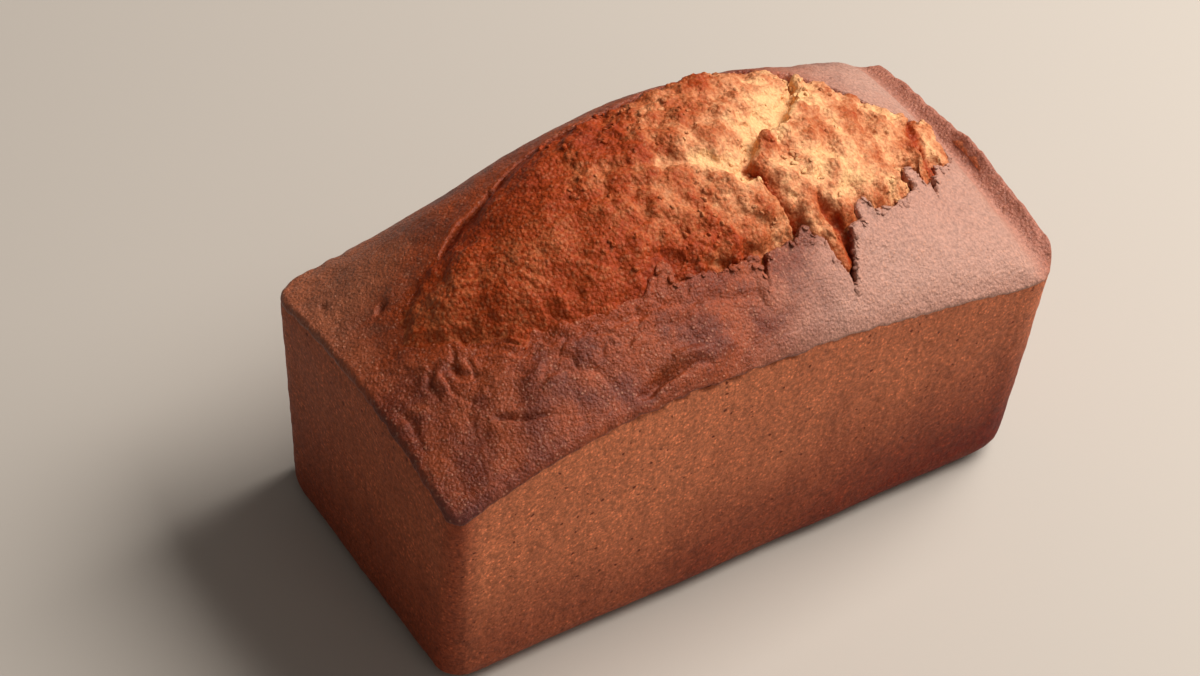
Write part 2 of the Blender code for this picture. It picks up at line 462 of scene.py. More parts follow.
def crust_height(x, y, inside):
    """Height of the crust: risen dough, its relief, the curled lip of the tear and the trough inside."""
    rim = rises(rim_distance(x, y), 0, 2.5)
    chips = 0.6 * MM * (1 - rim) * soft_noise(2.4 * MM, x, y, seed=49)
    height = risen_top(x, y) + crust_relief(x, y, inside) * blend(0.7, 1, rim) + chips
    drop = edge_drop(x, y)
    curl = np.clip(0.45 + 0.9 * soft_noise(6 * MM, x, y, seed=18), 0, 1) * (1 - merging(x, y))
    height += 0.6 * drop * curl * ridge(inside + 0.7 * MM, 1.7 * MM)
    depth = cracks_at(x, y)[0]
    return height - (TROUGH_DEPTH + drop + depth) * smooth_step(inside / TROUGH_RAMP)


def outline(s, t, half_length, half_width, radius):
    """Map the square -1..1 by -1..1 to a rectangle with round corners."""
    x = s * half_length
    y = t * half_width
    straight_x = half_length - radius
    straight_y = half_width - radius
    # The ray from the centre through (x, y) meets the corner's arc at k times (x, y).
    a = x * x + y * y + 1e-18
    b = abs(x) * straight_x + abs(y) * straight_y
    c = straight_x**2 + straight_y**2 - radius**2
    k = (b + np.sqrt(np.maximum(b * b - a * c, 0))) / a
    in_corner = (abs(x) * k > straight_x) & (abs(y) * k > straight_y)
    scale = np.where(in_corner, k * np.maximum(abs(s), abs(t)), 1.0)
    return x * scale, y * scale


def ragged_front(x, y):
    """1 along the middle of the front's crust line, where it's ragged and stands off the side."""
    return ridge(x - RAGGED_X, RAGGED_REACH) * (y < 0)


def wall_relief(x, y, z, below_rim):
    """How far the wall stands in or out: slight dents, fine grain, and a gap under the crust's rim."""
    relief = waves([(0.4, 24, 0), (0.14, 5, 2), (0.12, 1.6, 6)], x, y, z)
    torn = np.clip(0.45 + 2.5 * soft_noise(4 * MM, x, y, seed=8), 0, 1)
    gap = 2.2 * MM * torn * ragged_front(x, y) * ridge(below_rim - 1.8 * MM, 1.1 * MM)
    return relief * rises(below_rim, 0, 3) - gap - 0.1 * MM * ridge(below_rim, 2 * MM)


def box_grid(cells_long, cells_wide):
    """A grid over the square -1..1 by -1..1: points, faces, and its border from corner to corner."""
    s, t = np.meshgrid(np.linspace(-1, 1, cells_long + 1), np.linspace(-1, 1, cells_wide + 1))
    index = np.arange(s.size).reshape(s.shape)
    faces = np.stack([index[:-1, :-1], index[:-1, 1:], index[1:, 1:], index[1:, :-1]], axis=-1)
    border = np.concatenate([index[0, :-1], index[:-1, -1], index[-1, :0:-1], index[:0:-1, 0]])
    return s.ravel(), t.ravel(), faces.reshape(-1, 4), border


def ring_faces(border, first, rings):
    """Faces of rings of points hung below a border; the rings' points are numbered from first."""
    count = len(border)
    rows = np.vstack([border, first + np.arange(rings * count).reshape(rings, count)])
    upper, lower = rows[:-1], rows[1:]
    quads = np.stack([lower, np.roll(lower, -1, 1), np.roll(upper, -1, 1), upper], axis=-1)
    return quads.reshape(-1, 4), rows[-1]


def new_object(name, data):
    """An object in the scene that shows the given data."""
    made = bpy.data.objects.new(name, data)
    bpy.context.scene.collection.objects.link(made)
    return made


def new_piece(name, points, quads, caps, material):
    """A closed, smooth mesh object: its quads, and one wide face for each cap ring."""
    mesh = bpy.data.meshes.new(name)
    mesh.from_pydata(points, [], [*quads.tolist(), *[cap.tolist() for cap in caps]])
    mesh.materials.append(material)
    mesh.shade_smooth()
    return new_object(name, mesh)


def store(piece, name, values):
    """Keep one number for each point of a piece, for its materials or its node tree."""
    attribute = piece.data.attributes.get(name) or piece.data.attributes.new(name, "FLOAT", "POINT")
    attribute.data.foreach_set("value", np.asarray(values, dtype=np.float32))


def stored(piece, name):
    """The number kept for each point of a piece."""
    return np.array([value.value for value in piece.data.attributes[name].data])


def points_of(piece):
    """The points of a piece, one in each row."""
    return np.array([v.co for v in piece.data.vertices])


def near_sharp_corner(points, reach):
    """1 at the sharp near corner, falling away over the reach."""
    return ridge(np.hypot(points[:, 0] + HALF_LENGTH, points[:, 1] + HALF_WIDTH), reach)


def make_crust(material):
    """The top crust: a closed cap whose rim hangs a little over the sides, with a trough for the crumb."""
    s, t, faces, border = box_grid(*CRUST_CELLS)
    x, y = outline(s, t, HALF_LENGTH, HALF_WIDTH, corner_radius(s, t, 1))
    inside = tear_field(x, y)
    z = crust_height(x, y, inside)
    rim_s, rim_t = s[border], t[border]
    rim_x, rim_y, rim_z = x[border], y[border], z[border]
    radius = corner_radius(rim_s, rim_t, 1)
    ragged = ragged_front(rim_x, rim_y)
    hang = OVERHANG * ragged * (1 + soft_noise(2.5 * MM, rim_x, rim_y, seed=44))
    hang += 0.12 * MM * np.clip(1 + 2.5 * soft_noise(2.2 * MM, rim_x, rim_y, seed=48), 0, 3)
    edge = CRUST_EDGE * (1 + 0.5 * ragged * soft_noise(3 * MM, rim_x, rim_y, seed=45))
    rings = []
    for out, tuck, down in RIM_RINGS:
        reach = hang * out - tuck * MM * (1 - ragged)
        wx, wy = outline(rim_s, rim_t, HALF_LENGTH + reach, HALF_WIDTH + reach, radius)
        rings.append(np.column_stack([wx, wy, rim_z - edge * down]))
    wx, wy = outline(rim_s, rim_t, HALF_LENGTH - HIDDEN_INSET, HALF_WIDTH - HIDDEN_INSET, radius)
    rings.append(np.column_stack([wx, wy, np.full_like(wx, HIDDEN_LEVEL)]))
    skirt, last_ring = ring_faces(border, len(x), len(rings))
    points = np.vstack([np.column_stack([x, y, z]), *rings])
    crust = new_piece("top_crust", points, np.vstack([faces, skirt]), [last_ring[::-1]], material)
    rest = len(points) - len(x)
    store(crust, "inside_tear", np.concatenate([inside, np.full(rest, WELL_OUTSIDE)]))
    store(crust, "corner", near_sharp_corner(points, CORNER_REACH_CRUST))
    store(crust, "from_rim", np.concatenate([rim_distance(x, y), np.full(rest, CRUST_EDGE)]))
    return crust


def make_sides(material):
    """The sides and the base as one closed shell, whose hidden top is flat."""
    s, t, _, border = box_grid(*SIDE_CELLS)
    rim_s, rim_t = s[border], t[border]
    radius = corner_radius(rim_s, rim_t, 1)
    x, y = outline(rim_s, rim_t, HALF_LENGTH, HALF_WIDTH, radius)
    rim_z = crust_height(x, y, np.full_like(x, WELL_OUTSIDE))
    hx, hy = outline(rim_s, rim_t, HALF_LENGTH - HIDDEN_INSET, HALF_WIDTH - HIDDEN_INSET, radius)
    rings = [
        np.column_stack([hx, hy, np.full_like(hx, HIDDEN_LEVEL)]),
        np.column_stack([hx, hy, rim_z - CRUST_EDGE]),
    ]
    # Levels from the rim (1) down to the top of the base's rounded edge (0), then round it to the base (-1).
    levels = [1 - (i / WALL_RINGS) ** RING_CROWDING for i in range(WALL_RINGS)]
    levels += [-i / EDGE_RINGS for i in range(EDGE_RINGS + 1)]
    for level in levels:
        turn = max(-level, 0) * math.pi / 2
        wall_z = BASE_EDGE_RADIUS + level * (rim_z - WALL_TOP_DROP - BASE_EDGE_RADIUS)
        z = wall_z if level > 0 else np.full_like(rim_z, BASE_EDGE_RADIUS * (1 - math.sin(turn)))
        up = np.clip(z / RIM_HEIGHT, 0, 1)
        inset = WALL_INSET * (1 - up) + BASE_EDGE_RADIUS * (1 - math.cos(turn))
        radius = corner_radius(rim_s, rim_t, up)
        wx, wy = outline(rim_s, rim_t, HALF_LENGTH - inset, HALF_WIDTH - inset, radius)
        relief = wall_relief(wx, wy, z, rim_z - z) * math.cos(turn)
        outward = wall_normals(wx, wy, radius, inset)
        rings.append(np.column_stack([wx + outward[0] * relief, wy + outward[1] * relief, z]))
    first_ring = np.arange(len(border))
    faces, last_ring = ring_faces(first_ring, len(border), len(rings) - 1)
    points = np.vstack(rings)
    sides = new_piece("tin_sides", points, faces, [first_ring, last_ring[::-1]], material)
    store(sides, "corner", near_sharp_corner(points, CORNER_REACH_SIDES))
    return sides


def wall_normals(x, y, radius, inset):
    """Outward direction in plan of points on a rounded rectangle."""
    over_x = np.maximum(abs(x) - (HALF_LENGTH - inset - radius), 0) * np.sign(x)
    over_y = np.maximum(abs(y) - (HALF_WIDTH - inset - radius), 0) * np.sign(y)
    length = np.maximum(np.hypot(over_x, over_y), 1e-9)
    return over_x / length, over_y / length


# ---------------------------------------------------------------- the crumb in the burst

# Pale places on the crumb, in millimetres: the centre, the radii, and how much less toasted it is.
PALE_SPOTS = [((2, -6), (16, 9), 0.14), ((38, -15), (9, 6), 0.22)]


def make_crumb(material):
    """The crumb that pushed through the crust: a closed block whose top follows the burst."""
    s, t, faces, border = box_grid(*CRUMB_CELLS)
    x = BURST_CENTRE_X + s * (BURST_HALF_LENGTH + CRUMB_END_MARGIN)
    reach = leaf_half_width(x) + CRUMB_MARGIN
    y = blend(-reach - CLEFT_REACH * ridge(x - CLEFT_PLACE, CLEFT_SPREAD), reach, (t + 1) / 2)
    inside = tear_field(x, y)
    depth, fresh, baked = cracks_at(x, y)
    merge = merging(x, y)
    bare = smooth_step((inside + blend(1.5 * MM, 6 * MM, merge)) / (2.5 * MM))
    soft = near_front(x, y - 14 * MM)
    calm = falls(x, -2, 40)

    rise = BURST_RISE * (1 - (1 - np.clip(inside / BURST_RAMP, 0, 1)) ** 2)
    buried = smooth_step(-inside / blend(2.2 * MM, 6.5 * MM, merge))
    sunk = blend(0.2 * MM, -0.25 * MM, merge) + 2.4 * MM * buried
    sunk += (1 - merge) * edge_drop(x, y) * (1 - rises(inside, 0, 3))
    blocks = waves([(1.5, 14, 41), (0.9, 7, 43)], x, y)
    bend = 3 * MM * soft_noise(10 * MM, x, y, seed=46)
    strands = -abs(soft_noise(1.0, x / (9 * MM), (y + 0.5 * x + bend) / (2.6 * MM), seed=47))
    settled = blend(1, rises(inside, 1, 8), merge)
    broken = settled * blocks - depth + 0.9 * MM * settled * strands * soft
    z = risen_top(x, y) + rise - sunk + bare * broken
    z += merge * crust_relief(x, y, inside)

    base = np.column_stack([x[border], y[border], np.full(len(border), HIDDEN_LEVEL)])
    skirt, last_ring = ring_faces(border, len(x), 1)
    points = np.vstack([np.column_stack([x, y, z]), base])
    crumb = new_piece("burst_crumb", points, np.vstack([faces, skirt]), [last_ring[::-1]], material)

    # Toasting: least towards the far end and beside the fresh cracks, most in the other cracks.
    uneven = 0.26 * soft_noise(9 * MM, x, y, seed=51) + 0.18 * soft_noise(3 * MM, x, y, seed=52)
    toast = 0.50 - 0.30 * rises(x, -45, 90) + uneven * blend(1, 0.3, calm)
    toast += 0.1 * rises(y, 4, 10) * falls(x, 15, 30)
    toast += 0.4 * baked - 0.38 * fresh
    for centre, radii, paler in PALE_SPOTS:
        toast -= paler * spot(x, y, *metres([centre, radii]))
    toast += 0.12 * (1 - merge) * (1 - rises(inside, 0, 5)) - 0.05 * merge
    none = np.zeros(len(base))
    for name, values in (("bare", bare), ("lumpy", 1 - 0.7 * calm - 0.2 * fresh), ("toast", toast)):
        store(crumb, name, np.concatenate([values, none]))
    return crumb


# ---------------------------------------------------------------- node trees

# The swirl that warps the crumb's lumps, and the dents in the loose bits.
WARP_SIZE = 4 * MM
WARP_SEED = 7.0
DENT_SIZE = 0.8 * MM
DENT_SEED = 3.0

# A loose bit's length and width against its size, how far it may tip, and how far round it may turn.
BIT_LENGTH = 1.25
BIT_WIDTH = 0.85
BIT_TIP = 0.4
BIT_TURN = 6.28


def feed(tree, node, inputs):
    """Set a node's inputs, given by name or number, or link them to another node's output."""
    for key, value in inputs.items():
        if isinstance(value, bpy.types.NodeSocket):
            tree.links.new(value, node.inputs[key])
        else:
            node.inputs[key].default_value = value


def add(tree, kind, inputs=None, output=0, **settings):
    """Add a node, set its properties, feed its inputs, and give one of its outputs."""
    node = tree.nodes.new(kind)
    for name, value in settings.items():
        setattr(node, name, value)
    feed(tree, node, inputs or {})
    return node.outputs[output]


def new_tree(name, sizes):
    """A geometry tree with a geometry, a material, a seed and named sizes as its inputs."""
    tree = bpy.data.node_groups.new(name, "GeometryNodeTree")
    tree.interface.new_socket("Geometry", in_out="INPUT", socket_type="NodeSocketGeometry")
    tree.interface.new_socket("Geometry", in_out="OUTPUT", socket_type="NodeSocketGeometry")
    tree.interface.new_socket("Material", in_out="INPUT", socket_type="NodeSocketMaterial")
    tree.interface.new_socket("Seed", in_out="INPUT", socket_type="NodeSocketInt")
    for size in sizes:
        tree.interface.new_socket(size, in_out="INPUT", socket_type="NodeSocketFloat")
    return tree, tree.nodes.new("NodeGroupInput").outputs


def finish_tree(tree, geometry, material):
    """Realize the geometry, give it its material and send it out."""
    real = add(tree, "GeometryNodeRealizeInstances", {0: geometry})
    painted = add(tree, "GeometryNodeSetMaterial", {0: real, "Material": material})
    tree.links.new(painted, tree.nodes.new("NodeGroupOutput").inputs[0])


def apply_tree(piece, tree, values):
    """Run a geometry tree on a piece and keep its result as a plain mesh."""
    modifier = piece.modifiers.new(tree.name, "NODES")
    modifier.node_group = tree
    for item in tree.interface.items_tree:
        if item.in_out == "INPUT" and item.name in values:
            modifier[item.identifier] = values[item.name]
    evaluated = piece.evaluated_get(bpy.context.evaluated_depsgraph_get())
    mesh = bpy.data.meshes.new_from_object(evaluated)
    piece.modifiers.remove(modifier)
    old = piece.data
    piece.data = mesh
    mesh.name = piece.name
    bpy.data.meshes.remove(old)
    mesh.shade_smooth()


def lumps(tree, size, height, position, seed):
    """Round lumps of a size that meet in creases."""
    scale = add(tree, "ShaderNodeMath", {0: 1.0, 1: size}, operation="DIVIDE")
    away = add(
        tree, "ShaderNodeTexVoronoi", {"Vector": position, "W": seed, "Scale": scale, "Smoothness": 0.3},
        voronoi_dimensions="4D", feature="SMOOTH_F1",
    )
    round_top = add(tree, "ShaderNodeMath", {0: 0.5, 1: away}, operation="SUBTRACT")
    return add(tree, "ShaderNodeMath", {0: round_top, 1: height}, operation="MULTIPLY")


def grain(tree, size, height, position, seed):
    """Fine even noise of a size."""
    scale = add(tree, "ShaderNodeMath", {0: 1.0, 1: size}, operation="DIVIDE")
    level = add(
        tree, "ShaderNodeTexNoise", {"Vector": position, "W": seed, "Scale": scale, "Detail": 2.0},
        noise_dimensions="4D",
    )
    centred = add(tree, "ShaderNodeMath", {0: level, 1: 0.5}, operation="SUBTRACT")
    return add(tree, "ShaderNodeMath", {0: centred, 1: height}, operation="MULTIPLY")


def crumb_relief_tree():
    """Tree that raises the crumb's lumps, clumps, granules and grain, and stores each point's height."""
    kinds = ["Lump", "Clump", "Granule"]
    sizes = [f"{kind} {part}" for kind in [*kinds, "Grain"] for part in ("Size", "Height")]
    tree, given = new_tree("crumb_relief", [*sizes, "Warp"])
    position = add(tree, "GeometryNodeInputPosition")
    swirl = add(
        tree, "ShaderNodeTexNoise",
        {"Vector": position, "W": WARP_SEED, "Scale": 1 / WARP_SIZE, "Detail": 2.0},
        output="Color", noise_dimensions="4D",
    )
    push = add(tree, "ShaderNodeVectorMath", {0: swirl, 1: (-0.5, -0.5, -0.5)}, operation="ADD")
    pushed = add(tree, "ShaderNodeVectorMath", {0: push, "Scale": given["Warp"]}, operation="SCALE")
    warped = add(tree, "ShaderNodeVectorMath", {0: position, 1: pushed}, operation="ADD")
    relief = grain(tree, given["Grain Size"], given["Grain Height"], position, given["Seed"])
    for kind in kinds:
        level = lumps(tree, given[kind + " Size"], given[kind + " Height"], warped, given["Seed"])
        relief = add(tree, "ShaderNodeMath", {0: relief, 1: level}, operation="ADD")
    bare = add(tree, "GeometryNodeInputNamedAttribute", {"Name": "bare"}, data_type="FLOAT")
    lumpy = add(tree, "GeometryNodeInputNamedAttribute", {"Name": "lumpy"}, data_type="FLOAT")
    share = add(tree, "ShaderNodeMath", {0: bare, 1: lumpy}, operation="MULTIPLY")
    masked = add(tree, "ShaderNodeMath", {0: relief, 1: share}, operation="MULTIPLY")
    normal = add(tree, "GeometryNodeInputNormal")
    offset = add(tree, "ShaderNodeVectorMath", {0: normal, "Scale": masked}, operation="SCALE")
    height = add(tree, "ShaderNodeMath", {0: masked, 1: given["Lump Height"]}, operation="DIVIDE")
    kept = add(
        tree, "GeometryNodeStoreNamedAttribute",
        {"Geometry": given["Geometry"], "Name": "peak", "Value": height},
        data_type="FLOAT", domain="POINT",
    )
    moved = add(tree, "GeometryNodeSetPosition", {"Geometry": kept, "Offset": offset})
    finish_tree(tree, moved, given["Material"])
    return tree


def scatter_tree(name, place_name):
    """Tree that scatters small irregular bits where a stored number is high, lying along the surface."""
    tree, given = new_tree(name, ["Density", "Smallest", "Largest", "Flatness", "Roughness"])
    place = add(tree, "GeometryNodeInputNamedAttribute", {"Name": place_name}, data_type="FLOAT")
    chosen = add(tree, "FunctionNodeCompare", {0: place, 1: 0.5}, data_type="FLOAT", operation="GREATER_THAN")
    scattered = add(
        tree, "GeometryNodeDistributePointsOnFaces",
        {"Mesh": given["Geometry"], "Selection": chosen, "Density": given["Density"], "Seed": given["Seed"]},
    )
    upright = scattered.node.outputs["Rotation"]
    ball = add(tree, "GeometryNodeMeshIcoSphere", {"Radius": 1.0, "Subdivisions": 2})
    size = add(
        tree, "FunctionNodeRandomValue", {2: given["Smallest"], 3: given["Largest"], "Seed": given["Seed"]},
        output=1, data_type="FLOAT",
    )
    shape = add(tree, "ShaderNodeCombineXYZ", {0: BIT_LENGTH, 1: BIT_WIDTH, 2: given["Flatness"]})
    scale = add(tree, "ShaderNodeVectorMath", {0: shape, "Scale": size}, operation="SCALE")
    turn = add(
        tree, "FunctionNodeRandomValue",
        {0: (-BIT_TIP, -BIT_TIP, 0.0), 1: (BIT_TIP, BIT_TIP, BIT_TURN), "Seed": given["Seed"]},
        data_type="FLOAT_VECTOR",
    )
    turned = add(tree, "FunctionNodeRotateRotation", {0: upright, 1: turn}, rotation_space="LOCAL")
    placed = add(
        tree, "GeometryNodeInstanceOnPoints",
        {"Points": scattered, "Instance": ball, "Rotation": turned, "Scale": scale},
    )
    real = add(tree, "GeometryNodeRealizeInstances", {0: placed})
    position = add(tree, "GeometryNodeInputPosition")
    dents = grain(tree, DENT_SIZE, given["Roughness"], position, DENT_SEED)
    normal = add(tree, "GeometryNodeInputNormal")
    offset = add(tree, "ShaderNodeVectorMath", {0: normal, "Scale": dents}, operation="SCALE")
    shaped = add(tree, "GeometryNodeSetPosition", {"Geometry": real, "Offset": offset})
    finish_tree(tree, shaped, given["Material"])
    return tree


# ---------------------------------------------------------------- materials

# In a colour mix, input 0 is the share, 6 the colour under it and 7 the colour laid over that. In a range,
# inputs 1 and 2 are where it starts and ends, and 3 and 4 what it gives there.
COLOUR_MIX = {"output": 2, "data_type": "RGBA"}
SMOOTH = {"interpolation_type": "SMOOTHSTEP"}

# The numbers stored on the crust's and the crumb's points that their materials read.
CRUST_NUMBERS = ("inside_tear", "from_rim", "corner")
CRUMB_NUMBERS = ("toast", "peak", "lumpy")


def colour(hex_value):
    """Linear colour of an sRGB hex value such as "a0522d"."""
    channels = [int(hex_value[i:i + 2], 16) / 255 for i in (0, 2, 4)]
    return (*[c / 12.92 if c <= 0.04045 else ((c + 0.055) / 1.055) ** 2.4 for c in channels], 1.0)


def new_material(name):
    """An empty node material, its tree and its Principled shader."""
    material = bpy.data.materials.new(name)
    material.use_nodes = True
    tree = material.node_tree
    return material, tree, tree.nodes["Principled BSDF"]


def granules(tree, where, size, picked, rim):
    """Round granules of a size: the distance from each one's middle, and how much lighter the picked few are
    drawn, as painted glints on the crusts.
    """
    away = add(tree, "ShaderNodeTexVoronoi", {0: where, "Scale": 1 / size})
    pick = add(tree, "ShaderNodeSeparateXYZ", {0: away.node.outputs["Color"]})
    chosen = add(tree, "ShaderNodeMapRange", {0: pick, 1: picked[0], 2: picked[1]})
    core = add(tree, "ShaderNodeMapRange", {0: away, 1: rim[0], 2: rim[1]})
    return away, add(tree, "ShaderNodeMath", {0: chosen, 1: core}, operation="MULTIPLY")


def speckle(tree, where, base, look, spread, gains):
    """Specks that darken and lighten a colour: their noise, and the new colour."""
    specks = add(tree, "ShaderNodeTexNoise", {0: where, **look})
    gain = add(
        tree, "ShaderNodeMapRange", {0: specks, 1: 0.5 - spread, 2: 0.5 + spread, 3: gains[0], 4: gains[1]},
    )
    return specks, add(tree, "ShaderNodeVectorMath", {0: base, "Scale": gain}, operation="SCALE")


def baked_crust():
    """Baked cake crust: mottled brown with a fine grain that glints, orange-brown beside the tear."""
    material, tree, shader = new_material("baked_crust")
    where = add(tree, "ShaderNodeTexCoord", output="Object")
    along = add(tree, "ShaderNodeSeparateXYZ", {0: where})
    patches = add(tree, "ShaderNodeTexNoise", {0: where, "Scale": 1 / (12 * MM), "Detail": 4.0})
    mottle = add(tree, "ShaderNodeMapRange", {0: patches, 1: 0.38, 2: 0.62}, **SMOOTH)
    base = add(tree, "ShaderNodeMix", {0: mottle, 6: colour("6c2910"), 7: colour("91411d")}, **COLOUR_MIX)

    # Towards the far end of the front the crust is paler: partly its own paler tone, partly a painted sheen
    # where the window light glances off it.
    front = add(tree, "ShaderNodeMath", {0: along.node.outputs["Y"], 1: -0.7}, operation="MULTIPLY")
    pale_sheen_reach = add(tree, "ShaderNodeMath", {0: along, 1: front}, operation="ADD")
    drifts = add(tree, "ShaderNodeMath", {0: patches, 1: 40 * MM}, operation="MULTIPLY")
    pale_sheen_reach = add(tree, "ShaderNodeMath", {0: pale_sheen_reach, 1: drifts}, operation="ADD")
    pale_and_sheen = add(tree, "ShaderNodeMapRange", {0: pale_sheen_reach, 1: 39 * MM, 2: 78 * MM}, **SMOOTH)

    # Paler and greyer at the back of the near end, and redder on the far end's lip.
    back = add(tree, "ShaderNodeMapRange", {0: along.node.outputs["Y"], 1: -6 * MM, 2: 22 * MM})
    paler_near_back = add(tree, "ShaderNodeMapRange", {0: along, 1: -48 * MM, 2: -72 * MM, 3: 0.0, 4: 0.45})
    paler_near_back = add(tree, "ShaderNodeMath", {0: paler_near_back, 1: back}, operation="MULTIPLY")
    lip = add(tree, "ShaderNodeMapRange", {0: along, 1: 79 * MM, 2: 85 * MM, 3: 0.0, 4: 0.55})

    # Orange-brown beside the tear, in patches, most at the near end.
    inside, from_rim, corner = [
        add(tree, "ShaderNodeAttribute", output="Fac", attribute_name=name) for name in CRUST_NUMBERS
    ]
    beside = add(tree, "ShaderNodeMapRange", {0: inside, 1: -14 * MM, 2: 0.0}, **SMOOTH)
    near = add(tree, "ShaderNodeMapRange", {0: along, 1: 0.0, 2: -40 * MM, 3: 0.1, 4: 1.0})
    cloudy = add(tree, "ShaderNodeTexNoise", {0: where, "Scale": 1 / (6 * MM), "Detail": 3.0})
    cloud = add(tree, "ShaderNodeMapRange", {0: cloudy, 1: 0.33, 2: 0.58}, **SMOOTH)
    warm = add(tree, "ShaderNodeMath", {0: beside, 1: near}, operation="MULTIPLY")
    warm = add(tree, "ShaderNodeMath", {0: warm, 1: cloud}, operation="MULTIPLY")
    close = add(tree, "ShaderNodeMapRange", {0: inside, 1: -6 * MM, 2: -0.5 * MM}, **SMOOTH)
    close = add(tree, "ShaderNodeMath", {0: close, 1: near}, operation="MULTIPLY")
    warm = add(tree, "ShaderNodeMath", {0: warm, 1: close}, operation="MAXIMUM")
    # The first colour, ab7f6f, is the far front's paler crust with a painted sheen on it.
    for share, over in ((pale_and_sheen, "ab7f6f"), (paler_near_back, "a4684a"), (lip, "964427"), (warm, "93390a")):
        base = add(tree, "ShaderNodeMix", {0: share, 6: base, 7: colour(over)}, **COLOUR_MIX)

    # Plum-dark at the sharp near corner's rim, a little redder along the rest of the rim, and brown
    # inside the tear.
    rim = add(tree, "ShaderNodeMapRange", {0: from_rim, 1: 3.8 * MM, 2: 0.5 * MM}, **SMOOTH)
    rim_colour = add(
        tree, "ShaderNodeMix", {0: corner, 6: colour("7c331c"), 7: colour("43202a")}, **COLOUR_MIX,
    )
    rim_share = add(tree, "ShaderNodeMapRange", {0: corner, 3: 0.15, 4: 0.55})
    rim_share = add(tree, "ShaderNodeMath", {0: rim, 1: rim_share}, operation="MULTIPLY")
    torn = add(tree, "ShaderNodeMapRange", {0: inside, 1: 0.0, 2: 0.5 * MM}, **SMOOTH)
    base = add(tree, "ShaderNodeMix", {0: rim_share, 6: base, 7: rim_colour}, **COLOUR_MIX)
    base = add(tree, "ShaderNodeMix", {0: torn, 6: base, 7: colour("7c3015")}, **COLOUR_MIX)

    # Grain, and raised granules of which a few are painted lighter as glints of light: both about 0.4 mm on a
    # real crust, drawn at 0.9 and 0.8 mm to show.
    look = {"Scale": 1 / (0.9 * MM), "Detail": 4.0, "Roughness": 0.7}
    specks, base = speckle(tree, where, base, look, 0.14, (0.76, 1.24))
    away, light = granules(tree, where, 0.8 * MM, (0.62, 0.95), (0.5, 0.15))
    light = add(tree, "ShaderNodeMath", {0: light, 1: 0.5}, operation="MULTIPLY")
    base = add(tree, "ShaderNodeMix", {0: light, 6: base, 7: colour("cb8d70")}, **COLOUR_MIX)

    domes = add(tree, "ShaderNodeMath", {0: away, 1: -0.45}, operation="MULTIPLY")
    heights = add(tree, "ShaderNodeMath", {0: specks, 1: domes}, operation="ADD")
    bump = add(tree, "ShaderNodeBump", {"Height": heights, "Strength": 1.0, "Distance": 0.45 * MM})
    rough = add(tree, "ShaderNodeMapRange", {0: cloudy, 1: 0.3, 2: 0.7, 3: 0.40, 4: 0.54})
    feed(tree, shader, {"Base Color": base, "Normal": bump, "Roughness": rough, "Specular IOR Level": 0.34})
    return material


